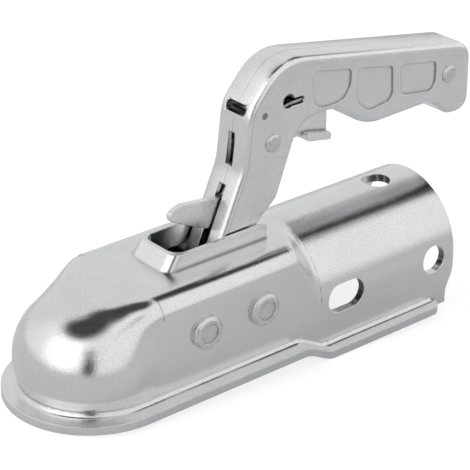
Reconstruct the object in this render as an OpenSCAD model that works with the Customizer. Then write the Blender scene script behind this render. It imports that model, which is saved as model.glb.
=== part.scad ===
// Trailer coupling head for a 50 mm tow ball and a 60 mm round drawbar.
// Origin: centre of the towed ball. +X runs rearward along the drawbar, +Z is up.
// The pressed body is one sheet; the hand lever turns on its rear rivet, the ball
// clamp on the front rivet, and the safety catch on the rivet in the lever's neck.

/* [Body shell] */
// Thickness of the pressed body sheet
sheet = 4; // [3:0.1:5]
// Radius of the tow ball
ball_r = 25; // [20:0.5:30]
// Gap between the ball and the socket roof
ball_gap = 0.3; // [0.1:0.1:1]
// Inside radius of the drawbar seat
seat_r = 30.25; // [26:0.25:36]
// How far the nose reaches out sideways beyond the ball's socket
nose_ring = 7.6; // [4:0.2:12]
// X of the rear edge of the body
tail_x = 204.8; // [190:1:230]
// Outside radius of the upper corners of the middle section
corner_r = 9.6; // [6:0.2:14]
// X at which the middle section starts to round into the drawbar seat
saddle_x = 99; // [95:1:105]
// Length of that rounding
saddle_len = 18; // [12:1:24]

/* [Base flange] */
// Height of the ball centre above the front flange's underside
flange_drop = 18.2; // [16:0.2:22]
// Width of the flange beyond the body wall
flange_w = 8.25; // [6:0.25:11]
// How much narrower the rear flange is on each side
flange_inset = 1.5; // [0:0.1:3]
// How far the rear flange steps down
flange_step = 8.3; // [4:0.1:12]
// X of the rear end of the flange
flange_end_x = 192.6; // [180:1:198]
// Radius of the hollow between wall and flange
flange_fillet = 2.9; // [1.5:0.1:4]

/* [Drawbar holes] */
// Diameter of the bolt holes
bolt_d = 14.5; // [12:0.5:16]
// X of the round side hole
side_hole_x = 191.1; // [185:0.1:194]
// X of the centre of the side slot
side_slot_x = 132.6; // [128:0.1:145]
// Overall length of the side slot
side_slot_len = 23; // [18:0.5:30]
// X of the top hole
top_hole_x = 182.4; // [170:0.1:190]

/* [Lever pocket] */
// X of the front of the pocket in the body's roof
pocket_x = 46.3; // [44:0.1:50]
// X of the rear end of the pocket and its collar
pocket_end_x = 98.8; // [96:0.1:101]
// Gap between the lever's side and the pocket's side
pocket_gap = 0.95; // [0.6:0.05:2]
// Height of the drawn collar above the roof
collar_h = 7.15; // [5:0.05:9]
// Thickness of the collar's drawn wall
collar_t = 2.2; // [1.5:0.1:3]
// Length of the collar's sloping front
collar_slope = 7.2; // [4:0.1:10]

/* [Rivets] */
// Radius of the two body rivets
rivet_r = 6; // [5:0.25:7.5]
// Radius of their heads
rivet_head_r = 8.1; // [7:0.1:10]
// Height of their heads
rivet_head_h = 3; // [2:0.1:4]
// X of the front rivet, on which the ball clamp turns
clamp_x = 46.4; // [44:0.1:48]
// X of the rear rivet, on which the lever turns
lever_x = 80.3; // [79:0.1:82]
// Height of both rivets above the ball centre
rivet_z = 11.15; // [10:0.05:13]
// Radial running clearance on every rivet
run_gap = 0.05; // [0.02:0.01:0.1]

/* [Hand lever] */
// Overall width of the lever
lever_w = 22.5; // [20:0.5:25]
// Thickness of the lever's pressed shells
shell_t = 2.5; // [1.5:0.1:3]
// Radius of the shells' outer edges
shell_edge = 3; // [1.5:0.1:4]
// Depth of the recessed grip panels
panel_d = 0.8; // [0.4:0.1:1.2]
// X of the rear end of the grip
grip_end_x = 234.4; // [225:0.2:240]

/* [Safety catch] */
// Thickness of the catch plate
catch_t = 3; // [2:0.1:4]
// Radius of the rivets that close the lever shells
small_rivet_r = 3; // [2.5:0.1:3.5]
// Radius of their heads
small_head_r = 4.4; // [4:0.1:5.5]
// Width of the folded finger pad under the trigger
pad_w = 10.4; // [8:0.2:12]

/* [Hidden] */
$fn = 96;
eps = 0.01;

// Body section: the middle of the body is a tube with squared-up shoulders.
wall_y = seat_r + sheet;
roof_z = wall_y;
dome_r = ball_r + ball_gap + sheet;
nose_r = nose_ring + dome_r;
nose_x = nose_ring;
nose_base_r = wall_y;
neck_drop = sqrt(pow(dome_r, 2) - pow(nose_base_r - nose_ring, 2));
rear_floor = -flange_drop - flange_step;
ramp_x0 = saddle_x + 0.1;
ramp_len = 21.5;
flange_y = wall_y + flange_w;
rear_flange_y = flange_y - flange_inset;

// The shoulder grows out of the dome between these two stations.
rise_x0 = nose_x - 12.6;
rise_x1 = nose_x + 15.4;

module capped_slot(len, d) {
    half = (len - d) / 2;
    for (side = [-1, 1]) translate([side * half, 0]) circle(d = d);
    translate([-half, -d / 2]) square([2 * half, d]);
}

function smooth(u) = let (v = min(1, max(0, u))) v * v * (3 - 2 * v);
function mix(a, b, s) = a + (b - a) * s;

// Half outline of a body section, from the floor up to the middle of the roof.
// w, h and r are its half width, height and corner radius, o is an inward offset.
arc_steps = 10;
function half_section(w, h, r, o, floor_z) = concat(
    [[w - o, floor_z]],
    [for (i = [0:arc_steps]) let (a = 90 * i / arc_steps)
        [w - r + (r - o) * cos(a), h - r + (r - o) * sin(a)]]);
function full_section(half) = concat(half,
    [for (i = [len(half) - 1:-1:0]) [-half[i][0], half[i][1]]]);

// The lofts keep this hair inside the round sections that they run into, so no
// corner of a loft touches an arc, and they run on into them by loft_lap.
loft_in = 0.1;
loft_lap = 0.2;

// Solid through sections that all have the same number of points.
module loft(xs, sections) {
    n = len(sections[0]);
    m = len(xs);
    points = [for (k = [0:m - 1]) for (p = sections[k]) [xs[k], p[0], p[1]]];
    sides = [for (k = [0:m - 2]) for (i = [0:n - 1]) let (j = (i + 1) % n)
        each [[k * n + i, (k + 1) * n + j, k * n + j],
              [k * n + i, (k + 1) * n + i, (k + 1) * n + j]]];
    front = [for (i = [0:n - 1]) i];
    rear = [for (i = [0:n - 1]) m * n - 1 - i];
    polyhedron(points = points, faces = concat([front], sides, [rear]), convexity = 6);
}

module rise_loft(o, floor_z) {
    steps = 12;
    xs = [for (k = [0:steps]) mix(rise_x0, rise_x1, k / steps)];
    start_r = dome_r - 0.8;
    loft(xs, [for (x = xs) let (
        s = smooth((x - rise_x0) / (rise_x1 - rise_x0)),
        plan = sqrt(nose_r * nose_r - pow(min(0, x - nose_x), 2)),
        w = mix(plan - 0.8, wall_y, s),
        h = mix(dome_r - 0.8, roof_z, s),
        r = mix(start_r, corner_r, s))
        full_section(half_section(w, h, r, o + loft_in, floor_z))]);
}

// Outer skin of the front: a half profile that starts as the shoulder's, runs
// forward along one side, turns round the nose and comes back on the other side.
// On the way each of its points moves between the dome's and the shoulder's.
neck_angle = asin(neck_drop / dome_r);
low_steps = 9;
high_steps = 6;
side_steps = 5;
turn_steps = 24;
profile_angles = concat(
    [for (k = [0:low_steps]) mix(-neck_angle, 45, k / low_steps)],
    [for (k = [1:high_steps]) mix(45, 90, k / high_steps)]);
dome_profile = concat([[nose_base_r, rear_floor]],
    [for (a = profile_angles) [nose_ring + dome_r * cos(a), dome_r * sin(a)]],
    [[nose_ring / 2, dome_r]]);
shoulder_profile = concat([[wall_y, rear_floor]],
    [for (k = [0:low_steps]) [wall_y, mix(-neck_drop, roof_z - corner_r, k / low_steps)]],
    [for (k = [1:high_steps]) let (a = 90 * k / high_steps)
        [wall_y - corner_r * (1 - cos(a)), roof_z - corner_r * (1 - sin(a))]],
    [[(wall_y - corner_r) / 2, roof_z]]);
function rise(x) = smooth((x - rise_x0) / (rise_x1 - rise_x0));
function front_point(i, forward, turn) = let (
    from = dome_profile[i],
    s = rise(nose_x - (forward < 0 ? forward : from[0] * sin(turn))),
    p = [for (k = [0, 1]) mix(from[k], shoulder_profile[i][k], s) - loft_in * (k == 0 || i > 0 ? 1 : 0)],
    side = forward < 0 ? 1 : cos(turn))
    [nose_x - (forward < 0 ? forward : p[0] * sin(turn)), p[0] * side, p[1]];
module front_skin() {
    end = rise_x1 + loft_lap - nose_x;
    n = len(dome_profile);
    stations = concat(
        [for (k = [side_steps:-1:1]) [-end * k / side_steps, 0, 1]],
        [for (k = [0:turn_steps]) [0, 180 * k / turn_steps, 1]],
        [for (k = [1:side_steps]) [-end * k / side_steps, 0, -1]]);
    last = len(stations) - 1;
    top = n * (last + 1);
    skin = [for (t = stations) for (i = [0:n - 1]) let (q = front_point(i, t[0], t[1]))
        [q[0], q[1] * t[2], q[2]]];
    ridge = [for (k = [side_steps:-1:0]) let (x = nose_x + end * k / side_steps)
        [x, 0, mix(dome_r, roof_z, rise(x)) - loft_in]];
    mid = [for (j = [0:last])
        top + min(side_steps, j < last / 2 ? j : last - j)];
    hubs = [[nose_x, 0, rear_floor], [nose_x + end, 0, 0]];
    hub = top + side_steps + 1;
    rear = concat([for (i = [n - 1:-1:0]) i], [for (i = [0:n - 1]) last * n + i], [mid[0]]);
    polyhedron(points = concat(skin, ridge, hubs), convexity = 6, faces = concat(
        [for (j = [0:last - 1]) for (i = [0:n - 2]) each [
            [j * n + i, (j + 1) * n + i + 1, (j + 1) * n + i],
            [j * n + i, j * n + i + 1, (j + 1) * n + i + 1]]],
        [for (j = [0:last - 1]) let (i = n - 1)
            [j * n + i, mid[j + 1], (j + 1) * n + i]],
        [for (j = [0:last - 1]) if (mid[j] != mid[j + 1]) let (i = n - 1)
            [j * n + i, mid[j], mid[j + 1]]],
        [for (j = [0:last]) [hub, j * n, (j < last ? j + 1 : 0) * n]],
        [for (k = [0:len(rear) - 1]) [hub + 1, rear[k], rear[(k + 1) % len(rear)]]]));
}

module saddle_loft(o, floor_z) {
    steps = 8;
    xs = [for (k = [0:steps]) saddle_x + saddle_len * k / steps];
    loft(xs, [for (x = xs) let (
        s = smooth((x - saddle_x) / saddle_len),
        r = mix(corner_r, wall_y, s))
        full_section(half_section(wall_y, roof_z, r, o + loft_in, floor_z))]);
}

// Section of the squared-up middle of the body, drawn across and run along X.
module section_2d(r, o, floor_z) {
    for (side = [-1, 1])
        translate([side * (wall_y - r), roof_z - r]) circle(r = r - o);
    translate([-(wall_y - o), floor_z]) square([2 * (wall_y - o), roof_z - r - floor_z]);
    translate([-(wall_y - r), floor_z]) square([2 * (wall_y - r), roof_z - o - floor_z]);
}
module run_x(x0, x1) {
    translate([x0, 0, 0]) rotate([90, 0, 90]) linear_extrude(x1 - x0) children();
}

module seat_2d(o, floor_z) {
    circle(r = wall_y - o);
    translate([-(wall_y - o), floor_z]) square([2 * (wall_y - o), -floor_z]);
}

module dome(o, floor_z) {
    translate([nose_x, 0, 0]) rotate_extrude() {
        intersection() {
            translate([nose_ring, 0]) circle(r = dome_r - o);
            translate([0, -neck_drop]) square([nose_r + 1, neck_drop + dome_r]);
        }
        translate([0, floor_z]) square([nose_base_r - o, -floor_z + eps]);
        square([nose_ring, dome_r - o]);
    }
}

// The whole body as a solid whose skin lies o inside the outer skin.
module body_form(o, floor_z) {
    if (o == 0) {
        front_skin();
    } else {
        dome(o, floor_z);
        rise_loft(o, floor_z);
    }
    run_x(rise_x1 - loft_lap, saddle_x + loft_lap) section_2d(corner_r, o, floor_z);
    saddle_loft(o, floor_z);
    run_x(saddle_x + saddle_len - loft_lap, tail_x + (o > 0 ? 1 : 0)) seat_2d(o, floor_z);
}

// Underside of the flange seen from the side: a level front, a soft step, a level rear.
ramp_steps = 12;
function ramp(x) = -flange_drop - flange_step * smooth((x - ramp_x0) / ramp_len);
function ramp_line(lift) = [for (k = [0:ramp_steps]) let (x = ramp_x0 + ramp_len * k / ramp_steps)
    [x, ramp(x) + lift]];
front_end = nose_x - nose_r - flange_w - 5;
module ribbon_2d(lift_low, lift_high) {
    low = concat([[front_end, -flange_drop + lift_low]], ramp_line(lift_low),
        [[tail_x + 5, rear_floor + lift_low]]);
    high = concat([[front_end, -flange_drop + lift_high]], ramp_line(lift_high),
        [[tail_x + 5, rear_floor + lift_high]]);
    polygon(concat(low, [for (i = [len(high) - 1:-1:0]) high[i]]));
}
module side_slab(w) {
    rotate([90, 0, 0]) linear_extrude(w, center = true) children();
}

module flange_plan() {
    rear_corner = 7;
    translate([nose_x, 0]) circle(r = flange_y);
    translate([nose_x, -flange_y]) square([ramp_x0 - nose_x, 2 * flange_y]);
    polygon([[ramp_x0, flange_y], [ramp_x0 + ramp_len, rear_flange_y],
             [ramp_x0 + ramp_len, -rear_flange_y], [ramp_x0, -flange_y]]);
    rear_x = flange_end_x - rear_corner;
    for (side = [-1, 1]) translate([rear_x, side * (rear_flange_y - rear_corner)])
        circle(r = rear_corner);
    translate([ramp_x0 + ramp_len, -rear_flange_y])
        square([rear_x - ramp_x0 - ramp_len, 2 * rear_flange_y]);
    translate([rear_x - 1, rear_corner - rear_flange_y])
        square([rear_corner + 1, 2 * (rear_flange_y - rear_corner)]);
}

module flange() {
    intersection() {
        translate([0, 0, rear_floor - 1]) linear_extrude(flange_step + sheet + 3) flange_plan();
        side_slab(2 * flange_y + 2) ribbon_2d(0, sheet);
    }
}

// Concave hollow that joins a wall to the flange, drawn outward from the wall.
module hollow_2d() {
    difference() {
        translate([-1, -1]) square(flange_fillet + 1);
        translate([flange_fillet, flange_fillet]) circle(r = flange_fillet);
    }
}
module flange_hollows() {
    translate([nose_x, 0, sheet - flange_drop])
        rotate([0, 0, 90]) rotate_extrude(angle = 180)
            translate([nose_base_r, 0]) hollow_2d();
    for (side = [0, 1]) mirror([0, side, 0]) {
        translate([0, 0, sheet - flange_drop]) run_x(nose_x, ramp_x0)
            translate([wall_y, 0]) hollow_2d();
        translate([0, 0, sheet + rear_floor]) run_x(ramp_x0 + ramp_len, flange_end_x - 3)
            translate([wall_y, 0]) hollow_2d();
    }
}

// The same hollow where the flange steps down, section by section.
module ramp_hollows() {
    r = flange_fillet;
    steps = 9;
    corner = concat([[-1, -1], [r, -1]],
        [for (k = [0:steps]) let (a = 270 - 90 * k / steps)
            [r + (r + loft_in) * cos(a), r + (r + loft_in) * sin(a)]],
        [[-1, r]]);
    xs = concat([ramp_x0 - loft_lap],
        [for (k = [0:ramp_steps]) ramp_x0 + ramp_len * k / ramp_steps],
        [ramp_x0 + ramp_len + loft_lap]);
    for (side = [0, 1]) mirror([0, side, 0])
        loft(xs, [for (x = xs) [for (p = corner) [wall_y + p[0], ramp(x) + sheet + p[1]]]]);
}

// Rear edge of the body: upright above, then swept forward towards the flange.
tail_sweep = 4.6;
tail_sweep_z = -7.5;
module tail_cut_2d() {
    steps = 8;
    polygon(concat(
        [for (k = [0:steps]) [tail_x - tail_sweep * smooth(k / steps),
            tail_sweep_z + (rear_floor + 5 - tail_sweep_z) * k / steps]],
        [[tail_x - tail_sweep, rear_floor - 1], [tail_x + 5, rear_floor - 1],
         [tail_x + 5, tail_sweep_z]]));
}

module pocket_plan(grow, front) {
    w = lever_w / 2 + pocket_gap + grow;
    r = 6;
    for (side = [-1, 1]) translate([front + r, side * (w - r)]) circle(r = r);
    translate([front, r - w]) square([r + 1, 2 * (w - r)]);
    translate([front + r, -w]) square([pocket_end_x - front - r, 2 * w]);
}
module collar() {
    hull() {
        translate([0, 0, roof_z - 3]) linear_extrude(3)
            pocket_plan(collar_t, pocket_x - collar_slope, $fn = 32);
        translate([0, 0, roof_z + collar_h - 1]) linear_extrude(1)
            pocket_plan(collar_t, pocket_x - collar_t, $fn = 32);
    }
}

module drawbar_holes() {
    translate([side_hole_x, 0, 0]) rotate([90, 0, 0])
        cylinder(d = bolt_d, h = 3 * wall_y, center = true);
    translate([side_slot_x, 0, 0]) rotate([90, 0, 0])
        linear_extrude(3 * wall_y, center = true) capped_slot(side_slot_len, bolt_d);
    translate([top_hole_x, 0, 0]) cylinder(d = bolt_d, h = 2 * wall_y);
}

module rivet_holes(r) {
    for (x = [clamp_x, lever_x])
        translate([x, 0, rivet_z]) rotate([90, 0, 0])
            cylinder(r = r, h = 3 * wall_y, center = true);
}

module coupling_body() {
    color("gainsboro") difference() {
        union() {
            body_form(0, rear_floor);
            flange();
            flange_hollows();
            collar();
            ramp_hollows();
        }
        body_form(sheet, rear_floor - 5);
        side_slab(4 * flange_y) ribbon_2d(-40, 0);
        side_slab(4 * flange_y) tail_cut_2d();
        translate([0, 0, ball_r]) linear_extrude(roof_z) pocket_plan(0, pocket_x);
        drawbar_holes();
        rivet_holes(rivet_r + run_gap);
    }
}

// Headed rivet through both body walls, with a shallow dish in each head.
module body_rivet(x) {
    span = 2 * wall_y;
    color("silver") translate([x, 0, rivet_z]) rotate([90, 0, 0]) {
        cylinder(r = rivet_r, h = span + 1, center = true);
        for (side = [0, 1]) mirror([0, 0, side]) translate([0, 0, wall_y]) difference() {
            rotate_extrude() polygon([[0, 0], [rivet_head_r, 0],
                [rivet_head_r, rivet_head_h - 1.2], [rivet_head_r - 1.4, rivet_head_h],
                [0, rivet_head_h]]);
            translate([0, 0, rivet_head_h - 0.5]) cylinder(r = rivet_head_r - 3.2, h = 1);
        }
    }
}
module front_rivet() { body_rivet(clamp_x); }
module rear_rivet() { body_rivet(lever_x); }

// Sleeve on a rivet that keeps the moving piece in the middle of the body.
module sleeve(x, y_in, side) {
    sleeve_t = 2.5;
    y_out = seat_r - 0.3;
    color("darkgray") translate([x, side * (y_in + y_out) / 2, rivet_z]) rotate([90, 0, 0])
        difference() {
            cylinder(r = rivet_r + sleeve_t, h = y_out - y_in, center = true);
            cylinder(r = rivet_r + run_gap, h = y_out, center = true);
        }
}
clamp_w = 30;
module clamp_sleeve_left() { sleeve(clamp_x, clamp_w / 2 + 0.3, -1); }
module clamp_sleeve_right() { sleeve(clamp_x, clamp_w / 2 + 0.3, 1); }
module lever_sleeve_left() { sleeve(lever_x, lever_w / 2 + 0.3, -1); }
module lever_sleeve_right() { sleeve(lever_x, lever_w / 2 + 0.3, 1); }

// Forged jaw behind the ball: a cupped shoe and an eye on the front rivet.
clamp_eye_r = 10.5;
module clamp_outline() {
    translate([clamp_x, rivet_z]) circle(r = clamp_eye_r);
    hull() {
        translate([clamp_x - 4, rivet_z]) circle(r = 6);
        translate([ball_r + 7, -1]) circle(r = 6.5);
    }
    hull() {
        translate([ball_r + 7, -1]) circle(r = 6.5);
        translate([ball_r - 2, -12.5]) circle(r = 3.5);
    }
    hull() {
        translate([ball_r + 7, -1]) circle(r = 6.5);
        translate([ball_r + 3, 6]) circle(r = 3);
    }
}
module ball_clamp() {
    color("dimgray") difference() {
        side_slab(clamp_w) clamp_outline();
        sphere(r = ball_r + ball_gap);
        translate([clamp_x, 0, rivet_z]) rotate([90, 0, 0])
            cylinder(r = rivet_r + run_gap, h = 2 * clamp_w, center = true);
        // The middle of the eye is open for the spring's coil.
        translate([clamp_x, 0, rivet_z]) rotate([90, 0, 0])
            cylinder(r = clamp_eye_r + 3, h = 12, center = true);
    }
}

// Closed outline with rounded corners, each corner given as [x, z, radius].
// inset moves every edge inward (the corners run clockwise as seen from -Y).
function edge_normal(a, b) = let (d = norm([b[0] - a[0], b[1] - a[1]]))
    [(b[1] - a[1]) / d, -(b[0] - a[0]) / d];
function line_cross(p, n1, q, n2) = let (
    d = n1[0] * n2[1] - n1[1] * n2[0], c1 = p * n1, c2 = q * n2)
    [(c1 * n2[1] - c2 * n1[1]) / d, (n1[0] * c2 - n2[0] * c1) / d];
function xy(c) = [c[0], c[1]];
function corner_arc(c, k, inset, steps) = let (
    n = len(c),
    a = c[(k + n - 1) % n], b = c[k], d = c[(k + 1) % n],
    n1 = edge_normal(a, b), n2 = edge_normal(b, d),
    v = line_cross(xy(b) + n1 * inset, n1, xy(b) + n2 * inset, n2),
    t1 = [-n1[1], n1[0]], t2 = [-n2[1], n2[0]],
    turn = n1[0] * n2[1] - n1[1] * n2[0],
    bend = atan2(turn, n1 * n2),
    r = max(0.2, b[2] + (turn < 0 ? -inset : inset)),
    cut = r * abs(tan(bend / 2)),
    hub = v - t1 * cut + n1 * (turn < 0 ? r : -r),
    from = n1 * (turn < 0 ? -1 : 1))
    [for (i = [0:steps]) let (f = bend * i / steps)
        hub + r * [from[0] * cos(f) - from[1] * sin(f), from[0] * sin(f) + from[1] * cos(f)]];
function outline(c, inset = 0, steps = 5) = [for (k = [0:len(c) - 1])
    each corner_arc(c, k, inset, steps)];

// Side view of the lever, clockwise from the top rear corner, rear edge first.
neck = [105, 79.7];
grip_rivet_at = [219.1, 84.7];
lever_corners = [
    [grip_end_x, 97.6, 10], [grip_end_x, 61.8, 7.5], [220.5, 62.4, 8],
    [208, 72.2, 9], [166, 71.4, 28], [143, 86.2, 12], [122, 85.2, 14],
    [108.6, 50.6, 7], [97.6, 41.5, 2], [93.4, 22, 12], [93.4, -2, 12.9],
    [67.2, -2, 12.9], [67.2, 24, 10], [87.8, 69.8, 30], [91.4, 98.2, 21],
    [110.8, 120.1, 24]];
edge_rings = 6;
half_w = lever_w / 2;
// Keyhole in the shells, a round end with a slot behind it, and the spring pin's hole.
keyhole_at = [114.5, 98.1];
keyhole_r = 3.6;
keyhole_slot_at = [118.75, 96.9];
keyhole_slot_len = 11.3;
keyhole_slot_w = 3.8;
pin_hole_at = [100, 94.4];
pin_hole_r = 1.7;
seam_gap = 0.1;

// Rim of a pressed half shell: rings run from the face's underside round the
// seam's lip and the rounded edge, and close on themselves under the flat face.
module lever_rim(floor_y, y) {
    bend = [for (k = [0:edge_rings - 1]) 90 * k / edge_rings];
    top_y = y - shell_edge + shell_edge * sin(bend[edge_rings - 1]);
    ys = concat([floor_y, seam_gap, seam_gap],
        [for (a = bend) y - shell_edge + shell_edge * sin(a)], [top_y]);
    insets = concat([shell_t, shell_t, 0],
        [for (a = bend) shell_edge * (1 - cos(a))], [shell_t]);
    sections = [for (d = insets) outline(lever_corners, d)];
    n = len(sections[0]);
    m = len(ys);
    points = [for (k = [0:m - 1]) for (p = sections[k]) [p[0], ys[k], p[1]]];
    polyhedron(points = points, convexity = 8, faces = [for (k = [0:m - 1])
        for (i = [0:n - 1]) let (j = (i + 1) % n, l = (k + 1) % m)
            each [[k * n + i, l * n + j, k * n + j], [k * n + i, l * n + i, l * n + j]]]);
}

// The three recessed panels along the grip, front to rear.
panels = [
    [[128.6, 109.5, 4], [153.8, 104.2, 3], [153.3, 89.4, 9], [130.1, 88.8, 8]],
    [[157.1, 103.7, 3], [180.7, 98.8, 3], [181.6, 81.4, 5], [165.3, 79.3, 8], [157.8, 85.9, 4]],
    [[185.2, 98.4, 3], [210.2, 93.7, 3], [210.1, 78.3, 5], [186.5, 82, 4]]];

// One half of the lever, on the +Y side of the seam.
module lever_half() {
    deep = half_w - shell_t;
    difference() {
        union() {
            lever_rim(deep, half_w);
            translate([0, half_w, 0]) rotate([90, 0, 0]) linear_extrude(shell_t)
                polygon(outline(lever_corners, shell_t));
        }
        // Slot in front for the fin, openings behind and below for the trigger.
        translate([60, -1, 24]) cube([28, catch_t / 2 + 2, 37.5]);
        translate([104, -1, 62]) cube([21, catch_t / 2 + 2, 26]);
        translate([118, -1, 77]) cube([36, pad_w / 2 + 1.8, 14]);
        // Sight slot on the catch plate's edge, and the cross slot in the bend.
        translate([84, -1, 70]) cube([10, 3.5, 16]);
        translate([84, 0, 97.3]) rotate([90, 0, 90]) linear_extrude(12) capped_slot(14, 5);
        for (p = panels) translate([0, half_w - panel_d, 0]) rotate([90, 0, 0])
            mirror([0, 0, 1]) linear_extrude(5) polygon(outline(p));
        // Eye for the bush, rivet holes, keyhole and the spring pin's hole.
        translate([lever_x, 0, rivet_z]) rotate([90, 0, 0])
            cylinder(r = bush_r, h = 60, center = true);
        for (p = [neck, grip_rivet_at]) translate([p[0], 0, p[1]]) rotate([90, 0, 0])
            cylinder(r = small_rivet_r + run_gap, h = 60, center = true);
        translate([0, 40, 0]) rotate([90, 0, 0]) linear_extrude(60) {
            translate(keyhole_at) circle(r = keyhole_r);
            translate(keyhole_slot_at) capped_slot(keyhole_slot_len, keyhole_slot_w);
            translate(pin_hole_at) circle(r = pin_hole_r);
        }
    }
}
module lever_shell_right() { color("whitesmoke") lever_half(); }
module lever_shell_left() { color("whitesmoke") mirror([0, 1, 0]) lever_half(); }

// Bush that joins the two shells round the rear rivet.
bush_r = rivet_r + 3;
module lever_bush() {
    color("gray") translate([lever_x, 0, rivet_z]) rotate([90, 0, 0]) difference() {
        cylinder(r = bush_r - 0.02, h = lever_w + 0.2, center = true);
        cylinder(r = rivet_r + run_gap, h = 2 * lever_w, center = true);
    }
}

// Safety catch: one plate with the fin in front, its eye, and the trigger.
catch_corners = [
    [124, 84.5, 3], [146.9, 87, 1.5], [146.9, 70.2, 0.8], [131.5, 73, 0.8],
    [124, 73.5, 5], [114, 70.2, 6], [98.5, 62.5, 9], [75, 41.1, 5],
    [52.6, 51.9, 2], [51.8, 55.6, 2], [58.5, 58.4, 8], [84.6, 55.2, 3],
    [92.2, 70, 6], [92.4, 88.6, 5], [111.5, 88.6, 7]];
pad_corners = [[131, 75.2, 1.2], [147, 71.7, 1.2], [146.6, 68, 1], [132, 70.8, 1]];
module catch_plate() {
    color("lightgray") difference() {
        union() {
            side_slab(catch_t) polygon(outline(catch_corners));
            side_slab(pad_w) polygon(outline(pad_corners));
        }
        translate([neck[0], 0, neck[1]]) rotate([90, 0, 0])
            cylinder(r = small_rivet_r + run_gap, h = 60, center = true);
    }
}

// Rivet through both lever shells with low domed heads.
module shell_rivet(at) {
    head_h = 1.4;
    color("silver") translate([at[0], 0, at[1]]) rotate([90, 0, 0]) {
        cylinder(r = small_rivet_r, h = lever_w + 0.5, center = true);
        for (side = [0, 1]) mirror([0, 0, side]) translate([0, 0, half_w])
            rotate_extrude() polygon([[0, 0], [small_head_r, 0], [small_head_r, head_h * 0.4],
                [small_head_r - 1, head_h], [0, head_h]]);
    }
}
module neck_rivet() { shell_rivet(neck); }
module grip_rivet() { shell_rivet(grip_rivet_at); }

module ring_y(at, r_in, r_out, y0, y1) {
    translate([at[0], (y0 + y1) / 2, at[1]]) rotate([90, 0, 0]) difference() {
        cylinder(r = r_out, h = y1 - y0, center = true);
        cylinder(r = r_in, h = y1 - y0 + 1, center = true);
    }
}
// Collars that keep the catch plate in the middle of the lever.
collar_in = catch_t / 2 + 0.1;
module neck_collar(side) {
    color("darkgray") mirror([0, side < 0 ? 1 : 0, 0])
        ring_y(neck, small_rivet_r + run_gap, small_rivet_r + 1.6, collar_in, half_w - shell_t - 0.1);
}
module neck_collar_left() { neck_collar(-1); }
module neck_collar_right() { neck_collar(1); }
module grip_spacer() {
    color("darkgray") ring_y(grip_rivet_at, small_rivet_r + run_gap, small_rivet_r + 2,
        -(half_w - shell_t - 0.1), half_w - shell_t - 0.1);
}

// Small pin in the shells that anchors the catch spring's leg.
module spring_pin() {
    color("silver") translate([100, 0, 94.4]) rotate([90, 0, 0])
        cylinder(r = 1.65, h = lever_w - 1, center = true);
}

// Torsion spring round the neck collar: flat coils and a leg up to the pin.
module catch_spring() {
    wire = 1.2;
    coil_r = small_rivet_r + 2.6;
    color("dimgray") {
        for (k = [0:3]) translate([neck[0], 2.9 + k * wire, neck[1]]) rotate([90, 0, 0])
            rotate_extrude() translate([coil_r, 0]) circle(d = wire + 0.1, $fn = 16);
    }
}

// Torsion spring in the middle of the clamp's eye, round the front rivet.
module clamp_spring() {
    wire = 2;
    coil_r = rivet_r + 1.6;
    color("dimgray") for (k = [0:4]) translate([clamp_x, (k - 2) * wire, rivet_z])
        rotate([90, 0, 0]) rotate_extrude() translate([coil_r, 0])
            circle(d = wire + 0.1, $fn = 16);
}
coupling_body();
ball_clamp();
front_rivet();
rear_rivet();
clamp_sleeve_left();
clamp_sleeve_right();
lever_sleeve_left();
lever_sleeve_right();
lever_shell_left();
lever_shell_right();
lever_bush();
catch_plate();
catch_spring();
neck_rivet();
neck_collar_left();
neck_collar_right();
grip_rivet();
grip_spacer();
spring_pin();
clamp_spring();
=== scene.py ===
import math

import bpy
from mathutils import Matrix, Vector, kdtree


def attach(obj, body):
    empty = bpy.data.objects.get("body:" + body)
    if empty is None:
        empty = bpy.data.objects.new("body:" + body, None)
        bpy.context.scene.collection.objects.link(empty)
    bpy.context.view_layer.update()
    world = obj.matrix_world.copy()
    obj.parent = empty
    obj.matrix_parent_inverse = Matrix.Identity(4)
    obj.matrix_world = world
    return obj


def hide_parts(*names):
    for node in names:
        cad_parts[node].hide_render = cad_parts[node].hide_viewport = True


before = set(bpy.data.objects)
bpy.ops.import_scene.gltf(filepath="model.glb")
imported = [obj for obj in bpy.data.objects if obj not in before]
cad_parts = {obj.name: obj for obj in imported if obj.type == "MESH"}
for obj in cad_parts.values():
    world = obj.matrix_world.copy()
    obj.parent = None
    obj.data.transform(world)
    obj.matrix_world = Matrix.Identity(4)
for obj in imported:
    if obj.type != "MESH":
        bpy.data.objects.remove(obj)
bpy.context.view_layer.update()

scene = bpy.context.scene
MM = 0.001

# The body: one drawn blank of 4 mm steel sheet, with a dome over the ball, squared
# shoulders under the lever, a half-round seat for the drawbar and a flange all round.
# It is plated with bright zinc after pressing, so it is glossy with a faint cloudiness.


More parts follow.
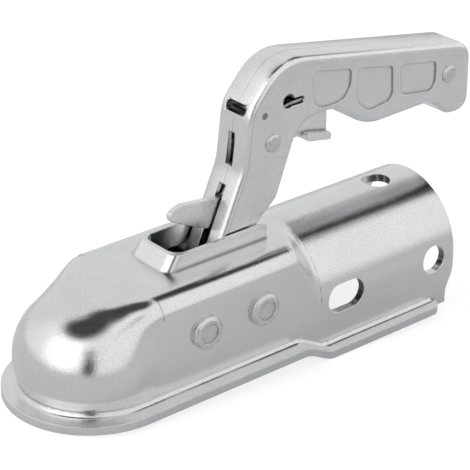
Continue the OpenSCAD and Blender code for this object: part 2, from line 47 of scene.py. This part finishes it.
def even_normals(mesh, reach, least):
    """Normals that are averaged over the faces near each corner, so that the hair-wide
    steps between two CAD sections don't draw a line across the smooth sheet."""
    step_height = 0.15 * reach
    along_x = 0.7
    own_share = 1e-9
    faces_at = [[] for _ in mesh.vertices]
    corners = kdtree.KDTree(len(mesh.vertices))
    for face in mesh.polygons:
        for v in face.vertices:
            faces_at[v].append(face.index)
    for vertex in mesh.vertices:
        corners.insert(vertex.co, vertex.index)
    corners.balance()
    weight = [min(face.area, reach * reach) for face in mesh.polygons]
    near = []
    for vertex in mesh.vertices:
        found = set()
        for _, v, _ in corners.find_range(vertex.co, reach):
            found.update(faces_at[v])
        near.append(found)
    normals = [Vector((0.0, 0.0, 1.0))] * len(mesh.loops)
    for face in mesh.polygons:
        points = [mesh.vertices[v].co for v in face.vertices]
        longest = max((a - b).length for a, b in zip(points, points[1:] + points[:1]))
        step = face.area < step_height * longest and abs(face.normal.x) > along_x
        for loop, v in zip(face.loop_indices, face.vertices):
            total = face.normal * own_share
            for other in near[v]:
                way = mesh.polygons[other].normal
                if step or way.dot(face.normal) > least:
                    total = total + way * weight[other]
            normals[loop] = total.normalized()
    mesh.normals_split_custom_set(normals)


def close_steps(mesh, joins):
    """Brings both sides of the hair-wide steps at the section joins onto one outline: where
    it is along X, half width, top and corner radius in mm, and the angle of one facet of
    the corner. It takes the points that lie between too_far outside and too_deep inside."""
    at_join = 0.03
    too_far, too_deep = -0.02, 0.17
    for vertex in mesh.vertices:
        for at, half, top, corner, facet in joins:
            if abs(vertex.co.x / MM - at) > at_join:
                continue
            y, z = abs(vertex.co.y) / MM, vertex.co.z / MM
            over_y, over_z = max(y - half + corner, 0.0), max(z - top + corner, 0.0)
            reach = math.hypot(over_y, over_z)
            if too_far < corner - reach < too_deep:
                turn = math.atan2(over_z, over_y) % facet - facet / 2.0
                pull = corner * math.cos(facet / 2.0) / math.cos(turn) / reach - 1.0
                vertex.co.y += math.copysign(over_y * pull, vertex.co.y) * MM
                vertex.co.z += over_z * pull * MM


def pressed_skin(node, name, weld, crease, joins=()):
    """A copy of the CAD piece's surface, joined up and shaded as the smooth sheet it is."""
    spread = 1.0 * MM
    piece = bpy.data.objects.new(name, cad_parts[node].data.copy())
    scene.collection.objects.link(piece)
    bpy.ops.object.select_all(action="DESELECT")
    piece.select_set(True)
    bpy.context.view_layer.objects.active = piece
    if piece.data.has_custom_normals:
        bpy.ops.mesh.customdata_custom_splitnormals_clear()
    close_steps(piece.data, joins)
    bpy.ops.object.mode_set(mode="EDIT")
    bpy.ops.mesh.select_all(action="SELECT")
    bpy.ops.mesh.remove_doubles(threshold=weld)
    bpy.ops.object.mode_set(mode="OBJECT")
    bpy.ops.object.shade_smooth_by_angle(angle=math.radians(crease))
    even_normals(piece.data, spread, math.cos(math.radians(crease)))
    piece.data.materials.clear()
    return piece


def group_socket(tree, name, kind, default=None, out=False):
    """One named input or output of a node group."""
    socket = tree.interface.new_socket(
        name, in_out="OUTPUT" if out else "INPUT", socket_type=kind)
    if default is not None:
        socket.default_value = default
    return socket


def zinc_cloud_group():
    """Clouded crystals of the zinc, and its fine grain mixed with marks drawn along X."""
    drawn_out = (0.06, 1.0, 1.0)
    tree = bpy.data.node_groups.new("zinc_cloud", "ShaderNodeTree")
    group_socket(tree, "Place", "NodeSocketVector")
    group_socket(tree, "Cloud size", "NodeSocketFloat")
    group_socket(tree, "Grain size", "NodeSocketFloat")
    group_socket(tree, "Marks", "NodeSocketFloat")
    group_socket(tree, "Cloud", "NodeSocketFloat", out=True)
    group_socket(tree, "Grain", "NodeSocketFloat", out=True)
    inp = tree.nodes.new("NodeGroupInput")
    out = tree.nodes.new("NodeGroupOutput")
    cloud = tree.nodes.new("ShaderNodeTexNoise")
    cloud.inputs["Detail"].default_value = 5.0
    cloud.inputs["Roughness"].default_value = 0.55
    tree.links.new(inp.outputs["Place"], cloud.inputs["Vector"])
    tree.links.new(inp.outputs["Cloud size"], cloud.inputs["Scale"])
    grain = tree.nodes.new("ShaderNodeTexNoise")
    grain.inputs["Detail"].default_value = 3.0
    tree.links.new(inp.outputs["Place"], grain.inputs["Vector"])
    tree.links.new(inp.outputs["Grain size"], grain.inputs["Scale"])
    along = tree.nodes.new("ShaderNodeVectorMath")
    along.operation = "MULTIPLY"
    along.inputs[1].default_value = drawn_out
    tree.links.new(inp.outputs["Place"], along.inputs[0])
    marks = tree.nodes.new("ShaderNodeTexNoise")
    marks.inputs["Scale"].default_value = 900.0
    marks.inputs["Detail"].default_value = 2.0
    tree.links.new(along.outputs[0], marks.inputs["Vector"])
    blend = tree.nodes.new("ShaderNodeMix")
    tree.links.new(inp.outputs["Marks"], blend.inputs["Factor"])
    tree.links.new(grain.outputs["Fac"], blend.inputs["A"])
    tree.links.new(marks.outputs["Fac"], blend.inputs["B"])
    tree.links.new(cloud.outputs["Fac"], out.inputs["Cloud"])
    tree.links.new(blend.outputs["Result"], out.inputs["Grain"])
    return tree


def rubbed_edge_group():
    """Mask of the edges that hands, boxes and the plating barrel have rubbed bright."""
    tree = bpy.data.node_groups.new("rubbed_edge", "ShaderNodeTree")
    group_socket(tree, "Place", "NodeSocketVector")
    group_socket(tree, "Width", "NodeSocketFloat", 0.8 * MM)
    group_socket(tree, "Mask", "NodeSocketFloat", out=True)
    inp = tree.nodes.new("NodeGroupInput")
    out = tree.nodes.new("NodeGroupOutput")
    round_edge = tree.nodes.new("ShaderNodeBevel")
    round_edge.samples = 4
    tree.links.new(inp.outputs["Width"], round_edge.inputs["Radius"])
    face = tree.nodes.new("ShaderNodeNewGeometry")
    dot = tree.nodes.new("ShaderNodeVectorMath")
    dot.operation = "DOT_PRODUCT"
    tree.links.new(round_edge.outputs["Normal"], dot.inputs[0])
    tree.links.new(face.outputs["Normal"], dot.inputs[1])
    near = tree.nodes.new("ShaderNodeMapRange")
    near.inputs["From Min"].default_value = 0.995
    near.inputs["From Max"].default_value = 0.9
    tree.links.new(dot.outputs["Value"], near.inputs["Value"])
    patch = tree.nodes.new("ShaderNodeTexNoise")
    patch.inputs["Scale"].default_value = 120.0
    tree.links.new(inp.outputs["Place"], patch.inputs["Vector"])
    some = tree.nodes.new("ShaderNodeMapRange")
    some.inputs["From Min"].default_value = 0.35
    some.inputs["From Max"].default_value = 0.65
    tree.links.new(patch.outputs["Fac"], some.inputs["Value"])
    both = tree.nodes.new("ShaderNodeMath")
    both.operation = "MULTIPLY"
    tree.links.new(near.outputs["Result"], both.inputs[0])
    tree.links.new(some.outputs["Result"], both.inputs[1])
    tree.links.new(both.outputs[0], out.inputs["Mask"])
    return tree


def painted_crease_shade_group():
    """Painted shade: darkens the colour in inner corners and creases, the less open room they
    see, to stand for the shade that falls there.
    """
    tree = bpy.data.node_groups.new("painted_crease_shade", "ShaderNodeTree")
    group_socket(tree, "Colour", "NodeSocketColor")
    group_socket(tree, "Reach", "NodeSocketFloat", 2.0 * MM)
    group_socket(tree, "Colour", "NodeSocketColor", out=True)
    inp = tree.nodes.new("NodeGroupInput")
    out = tree.nodes.new("NodeGroupOutput")
    open_share = tree.nodes.new("ShaderNodeAmbientOcclusion")
    open_share.samples = 6
    open_share.only_local = True
    tree.links.new(inp.outputs["Reach"], open_share.inputs["Distance"])
    shade = tree.nodes.new("ShaderNodeMapRange")
    shade.inputs["From Min"].default_value = 0.35
    shade.inputs["From Max"].default_value = 0.95
    shade.inputs["To Min"].default_value = 0.25
    tree.links.new(open_share.outputs["AO"], shade.inputs["Value"])
    dim = tree.nodes.new("ShaderNodeVectorMath")
    dim.operation = "SCALE"
    tree.links.new(inp.outputs["Colour"], dim.inputs[0])
    tree.links.new(shade.outputs["Result"], dim.inputs["Scale"])
    tree.links.new(dim.outputs["Vector"], out.inputs["Colour"])
    return tree


zinc_cloud = zinc_cloud_group()
rubbed_edge = rubbed_edge_group()
painted_crease_shade = painted_crease_shade_group()


def plated_steel(name, dull, bright, gloss, haze, cloud_size, grain, marks=0.0,
                 grain_size=1400.0):
    """Zinc-plated steel: colour between dull and bright, roughness between gloss and haze, with
    a grain of the given strength, painted shade in the inner corners and a hair of rounding on
    every sharp edge."""
    rubbed_bright = (0.88, 0.885, 0.89)
    grain_depth = 0.15 * MM
    edge_rounding = 0.6 * MM
    finish = bpy.data.materials.new(name)
    finish.use_nodes = True
    tree = finish.node_tree
    skin = tree.nodes["Principled BSDF"]
    skin.inputs["Metallic"].default_value = 1.0
    place = tree.nodes.new("ShaderNodeTexCoord")
    plating = tree.nodes.new("ShaderNodeGroup")
    plating.node_tree = zinc_cloud
    plating.inputs["Cloud size"].default_value = cloud_size
    plating.inputs["Grain size"].default_value = grain_size
    plating.inputs["Marks"].default_value = marks
    tree.links.new(place.outputs["Object"], plating.inputs["Place"])
    wear = tree.nodes.new("ShaderNodeGroup")
    wear.node_tree = rubbed_edge
    tree.links.new(place.outputs["Object"], wear.inputs["Place"])
    tone = tree.nodes.new("ShaderNodeMix")
    tone.data_type = "RGBA"
    tone.inputs["A"].default_value = (*dull, 1.0)
    tone.inputs["B"].default_value = (*bright, 1.0)
    tree.links.new(plating.outputs["Cloud"], tone.inputs["Factor"])
    rubbed = tree.nodes.new("ShaderNodeMix")
    rubbed.data_type = "RGBA"
    rubbed.inputs["B"].default_value = (*rubbed_bright, 1.0)
    tree.links.new(wear.outputs["Mask"], rubbed.inputs["Factor"])
    tree.links.new(tone.outputs["Result"], rubbed.inputs["A"])
    speck = tree.nodes.new("ShaderNodeMapRange")
    speck.inputs["From Min"].default_value = 0.36
    speck.inputs["From Max"].default_value = 0.64
    speck.inputs["To Min"].default_value = 0.9
    speck.inputs["To Max"].default_value = 1.07
    tree.links.new(plating.outputs["Grain"], speck.inputs["Value"])
    speckled = tree.nodes.new("ShaderNodeVectorMath")
    speckled.operation = "SCALE"
    tree.links.new(rubbed.outputs["Result"], speckled.inputs[0])
    tree.links.new(speck.outputs["Result"], speckled.inputs["Scale"])
    # Painted shade: the colour is darkened in inner corners and creases, where shade falls.
    crease = tree.nodes.new("ShaderNodeGroup")
    crease.node_tree = painted_crease_shade
    tree.links.new(speckled.outputs["Vector"], crease.inputs["Colour"])
    tree.links.new(crease.outputs["Colour"], skin.inputs["Base Color"])
    sheen = tree.nodes.new("ShaderNodeMapRange")
    sheen.inputs["From Min"].default_value = 0.3
    sheen.inputs["From Max"].default_value = 0.7
    sheen.inputs["To Min"].default_value = gloss
    sheen.inputs["To Max"].default_value = haze
    tree.links.new(plating.outputs["Cloud"], sheen.inputs["Value"])
    tree.links.new(sheen.outputs["Result"], skin.inputs["Roughness"])
    bump = tree.nodes.new("ShaderNodeBump")
    bump.inputs["Strength"].default_value = grain
    bump.inputs["Distance"].default_value = grain_depth
    soft = tree.nodes.new("ShaderNodeBevel")
    soft.samples = 6
    soft.inputs["Radius"].default_value = edge_rounding
    tree.links.new(soft.outputs["Normal"], bump.inputs["Normal"])
    tree.links.new(plating.outputs["Grain"], bump.inputs["Height"])
    tree.links.new(bump.outputs["Normal"], skin.inputs["Normal"])
    return finish


body_zinc = plated_steel("bright_zinc_sheet", (0.66, 0.67, 0.68), (0.78, 0.785, 0.79),
                         0.08, 0.14, cloud_size=55.0, grain=0.38, grain_size=2100.0)
dome_end, seat_blend_start, seat_blend_end = 22.8, 99.2, 116.8
half_width, shoulder_corner = 34.25, 9.6
coarse_facet, fine_facet = math.radians(15.0), math.radians(9.0)
joins = ((dome_end, half_width, half_width, shoulder_corner, coarse_facet),
         (seat_blend_start, half_width, half_width, shoulder_corner, fine_facet),
         (seat_blend_end, half_width, half_width, half_width, fine_facet))
body_sheet = pressed_skin("coupling_body", "body_sheet", weld=0.05 * MM, crease=32, joins=joins)
body_sheet.data.materials.append(body_zinc)
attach(body_sheet, "coupling")
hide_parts("coupling_body")

# The ball clamp inside the dome: a forged steel jaw that hangs on the front rivet and
# holds the ball from behind, with a plated but coarser skin and its spring in the eye.
# The spring of the catch and the pin that it hooks on are of the same oiled wire.
forging = plated_steel("plated_forging", (0.42, 0.43, 0.44), (0.6, 0.61, 0.62), 0.32, 0.45,
                       cloud_size=160.0, grain=0.7, grain_size=700.0)
spring_wire = plated_steel("oiled_spring_wire", (0.24, 0.24, 0.25), (0.38, 0.38, 0.39), 0.25,
                           0.38, cloud_size=220.0, grain=0.3, marks=0.6)
for node, finish in (("ball_clamp", forging), ("clamp_spring", spring_wire),
                     ("catch_spring", spring_wire), ("spring_pin", spring_wire)):
    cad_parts[node].data.materials.clear()
    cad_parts[node].data.materials.append(finish)

# The rivets: plain steel pins pressed cold into flat heads, 12 mm thick with dished heads
# in the body and 6 mm in the lever, and the turned sleeves, collars, bush and spacer on
# them that keep the moving pieces in the middle.
rivet_zinc = plated_steel("pressed_rivet_zinc", (0.56, 0.57, 0.58), (0.7, 0.705, 0.71), 0.24,
                          0.36, cloud_size=260.0, grain=0.45, grain_size=1000.0)
for node in ("front_rivet", "rear_rivet", "clamp_sleeve_left", "clamp_sleeve_right",
             "lever_sleeve_left", "lever_sleeve_right", "lever_bush", "neck_rivet",
             "neck_collar_left", "neck_collar_right", "grip_rivet", "grip_spacer"):
    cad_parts[node].data.materials.clear()
    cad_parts[node].data.materials.append(rivet_zinc)

# The hand lever: two shells pressed from 2.5 mm sheet that meet in a seam along the
# middle, with rounded outer edges and three sunk panels in each side of the grip.
lever_zinc = plated_steel("satin_zinc_shell", (0.68, 0.69, 0.7), (0.82, 0.825, 0.83), 0.13,
                          0.21, cloud_size=80.0, grain=0.5, grain_size=2100.0)
for side in ("left", "right"):
    shell = pressed_skin("lever_shell_" + side, "lever_sheet_" + side, weld=0.01 * MM,
                         crease=32)
    shell.data.materials.append(lever_zinc)
    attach(shell, "lever")
    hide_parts("lever_shell_" + side)

# The safety catch: one 3 mm plate between the shells, cut with a fin in front that
# rests on the pocket's collar, and a folded pad below for the finger.
catch_zinc = plated_steel("satin_zinc_plate", (0.72, 0.73, 0.74), (0.86, 0.865, 0.87), 0.2,
                          0.34, cloud_size=110.0, grain=0.6, marks=0.1, grain_size=1900.0)
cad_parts["catch_plate"].data.materials.clear()
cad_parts["catch_plate"].data.materials.append(catch_zinc)

# The camera: a long lens at the photograph's own angle, above the coupling and off its
# nose. Its place was fitted to the photograph and is given in mm along its own axes.
turn, tilt = math.radians(-39.68), math.radians(26.59)
distance, shift_right, shift_up = 905.252, 70.476, 55.136
lens_pixels, photo_pixels = 2000.0, 470.0
right = Vector((math.cos(turn), math.sin(turn), 0.0))
up = Vector((-math.sin(turn) * math.sin(tilt), math.cos(turn) * math.sin(tilt), math.cos(tilt)))
back = right.cross(up)
eye = (back * distance + right * shift_right + up * shift_up) * MM
camera = bpy.data.objects.new("camera", bpy.data.cameras.new("camera"))
scene.collection.objects.link(camera)
camera.data.sensor_width = 36.0
camera.data.lens = lens_pixels * camera.data.sensor_width / photo_pixels
camera.data.clip_start = 0.05
camera.matrix_world = Matrix.Translation(eye) @ Matrix((right, up, back)).transposed().to_4x4()
scene.camera = camera

# The floor: a plain sheet of pale paper, which is lifted to white where the camera sees it
# and keeps the shadow. The coupling stands on the front edge of its flange and on the step
# behind, so it leans a little towards its nose.
nose_drop, stand_length = 8.3, 155.5
lean = math.atan2(nose_drop, stand_length)
rear_foot = (0.1206, 0.0, -0.0266)
lift_share, lift_strength = 0.62, 1.32
bpy.ops.object.select_all(action="DESELECT")
bpy.ops.mesh.primitive_plane_add(size=6.0, location=(0.0, 0.0, 0.0))
floor = bpy.context.active_object
floor.name = "studio_floor"
floor.data.transform(Matrix.Translation(rear_foot)
                     @ Matrix.Rotation(lean, 4, "Y"))
paper = bpy.data.materials.new("white_paper")
paper.use_nodes = True
tree = paper.node_tree
sheet_colour = tree.nodes["Principled BSDF"]
sheet_colour.inputs["Base Color"].default_value = (0.62, 0.62, 0.625, 1.0)
sheet_colour.inputs["Roughness"].default_value = 0.9
sheet_colour.inputs["Specular IOR Level"].default_value = 0.0
lift = tree.nodes.new("ShaderNodeEmission")
lift.inputs["Strength"].default_value = lift_strength
seen = tree.nodes.new("ShaderNodeMixShader")
seen.inputs["Fac"].default_value = lift_share
tree.links.new(sheet_colour.outputs["BSDF"], seen.inputs[1])
tree.links.new(lift.outputs["Emission"], seen.inputs[2])
ray = tree.nodes.new("ShaderNodeLightPath")
pick = tree.nodes.new("ShaderNodeMixShader")
tree.links.new(ray.outputs["Is Camera Ray"], pick.inputs["Fac"])
tree.links.new(sheet_colour.outputs["BSDF"], pick.inputs[1])
tree.links.new(seen.outputs["Shader"], pick.inputs[2])
tree.links.new(pick.outputs["Shader"], tree.nodes["Material Output"].inputs["Surface"])
floor.data.materials.append(paper)

# The studio, as the metal sees it: white walls round the table, and on them the areas
# listed below. The camera itself sees plain white.


def studio_patch_group():
    """Adds one soft-edged round area of a given tone to the studio seen so far."""
    tree = bpy.data.node_groups.new("studio_patch", "ShaderNodeTree")
    group_socket(tree, "Room", "NodeSocketFloat")
    group_socket(tree, "Way", "NodeSocketVector")
    group_socket(tree, "Towards", "NodeSocketVector")
    group_socket(tree, "Edge", "NodeSocketFloat")
    group_socket(tree, "Full", "NodeSocketFloat")
    group_socket(tree, "Tone", "NodeSocketFloat")
    group_socket(tree, "Room", "NodeSocketFloat", out=True)
    inp = tree.nodes.new("NodeGroupInput")
    out = tree.nodes.new("NodeGroupOutput")
    unit = tree.nodes.new("ShaderNodeVectorMath")
    unit.operation = "NORMALIZE"
    tree.links.new(inp.outputs["Towards"], unit.inputs[0])
    facing = tree.nodes.new("ShaderNodeVectorMath")
    facing.operation = "DOT_PRODUCT"
    tree.links.new(inp.outputs["Way"], facing.inputs[0])
    tree.links.new(unit.outputs[0], facing.inputs[1])
    area = tree.nodes.new("ShaderNodeMapRange")
    area.interpolation_type = "SMOOTHSTEP"
    tree.links.new(facing.outputs["Value"], area.inputs["Value"])
    tree.links.new(inp.outputs["Edge"], area.inputs["From Min"])
    tree.links.new(inp.outputs["Full"], area.inputs["From Max"])
    mix = tree.nodes.new("ShaderNodeMix")
    tree.links.new(area.outputs["Result"], mix.inputs["Factor"])
    tree.links.new(inp.outputs["Room"], mix.inputs["A"])
    tree.links.new(inp.outputs["Tone"], mix.inputs["B"])
    tree.links.new(mix.outputs["Result"], out.inputs["Room"])
    return tree


studio_patch = studio_patch_group()
world = bpy.data.worlds.new("studio")
scene.world = world
world.use_nodes = True
tree = world.node_tree
sky = tree.nodes["Background"]
way = tree.nodes.new("ShaderNodeTexCoord")
height = tree.nodes.new("ShaderNodeSeparateXYZ")
tree.links.new(way.outputs["Generated"], height.inputs["Vector"])
walls = tree.nodes.new("ShaderNodeValToRGB")
tones = ((0.0, 0.72), (0.15, 1.0), (0.4, 1.02), (0.8, 1.02), (1.0, 0.95))
while len(walls.color_ramp.elements) < len(tones):
    walls.color_ramp.elements.new(0.5)
for element, (at, tone) in zip(walls.color_ramp.elements, tones):
    element.position = at
    element.color = (tone, tone, tone, 1.0)
tree.links.new(height.outputs["Z"], walls.inputs["Fac"])
room = walls.outputs["Color"]
for area, towards, edge, full, tone in (
        ("dim wall behind the drawbar", (0.4, 0.9, 0.55), 0.6, 0.9, 0.84),
        ("lit screen before the nose", (-1.0, -0.1, 0.7), 0.78, 0.95, 1.5),
        ("black flag over the drawbar", (0.6, 0.1, 0.82), 0.93, 0.975, 0.03),
        ("black flag overhead", (-0.16, 0.06, 1.0), 0.92, 0.94, 0.07),
        ("camera stand, top", (-0.55, -0.62, 0.7), 0.985, 0.995, 0.3),
        ("camera stand, middle", (-0.61, -0.7, 0.42), 0.982, 0.993, 0.12),
        ("camera stand, foot", (-0.66, -0.72, 0.2), 0.982, 0.992, 0.02)):
    patch = tree.nodes.new("ShaderNodeGroup")
    patch.node_tree = studio_patch
    patch.label = area
    patch.inputs["Towards"].default_value = towards
    patch.inputs["Edge"].default_value = edge
    patch.inputs["Full"].default_value = full
    patch.inputs["Tone"].default_value = tone
    tree.links.new(room, patch.inputs["Room"])
    tree.links.new(way.outputs["Generated"], patch.inputs["Way"])
    room = patch.outputs["Room"]
ray = tree.nodes.new("ShaderNodeLightPath")
seen = tree.nodes.new("ShaderNodeMix")
seen.inputs["B"].default_value = 1.0
tree.links.new(ray.outputs["Is Camera Ray"], seen.inputs["Factor"])
tree.links.new(room, seen.inputs["A"])
tree.links.new(seen.outputs["Result"], sky.inputs["Color"])
sky.inputs["Strength"].default_value = 1.0

# The lamp: one wide softbox overhead, which gives the soft shadow under the coupling. It
# stays out of the reflections, where the bright walls stand for it.
lamp = bpy.data.lights.new("overhead_softbox", "AREA")
lamp.shape = "RECTANGLE"
lamp.size = 1.2
lamp.size_y = 0.9
lamp.energy = 6.0
softbox = bpy.data.objects.new("overhead_softbox", lamp)
scene.collection.objects.link(softbox)
softbox.location = (-0.1, 0.35, 1.2)
aim = Vector((0.1, 0.0, 0.0)) - softbox.location
softbox.rotation_euler = aim.to_track_quat("-Z", "Y").to_euler()
softbox.visible_glossy = False

scene.view_settings.view_transform = "Standard"
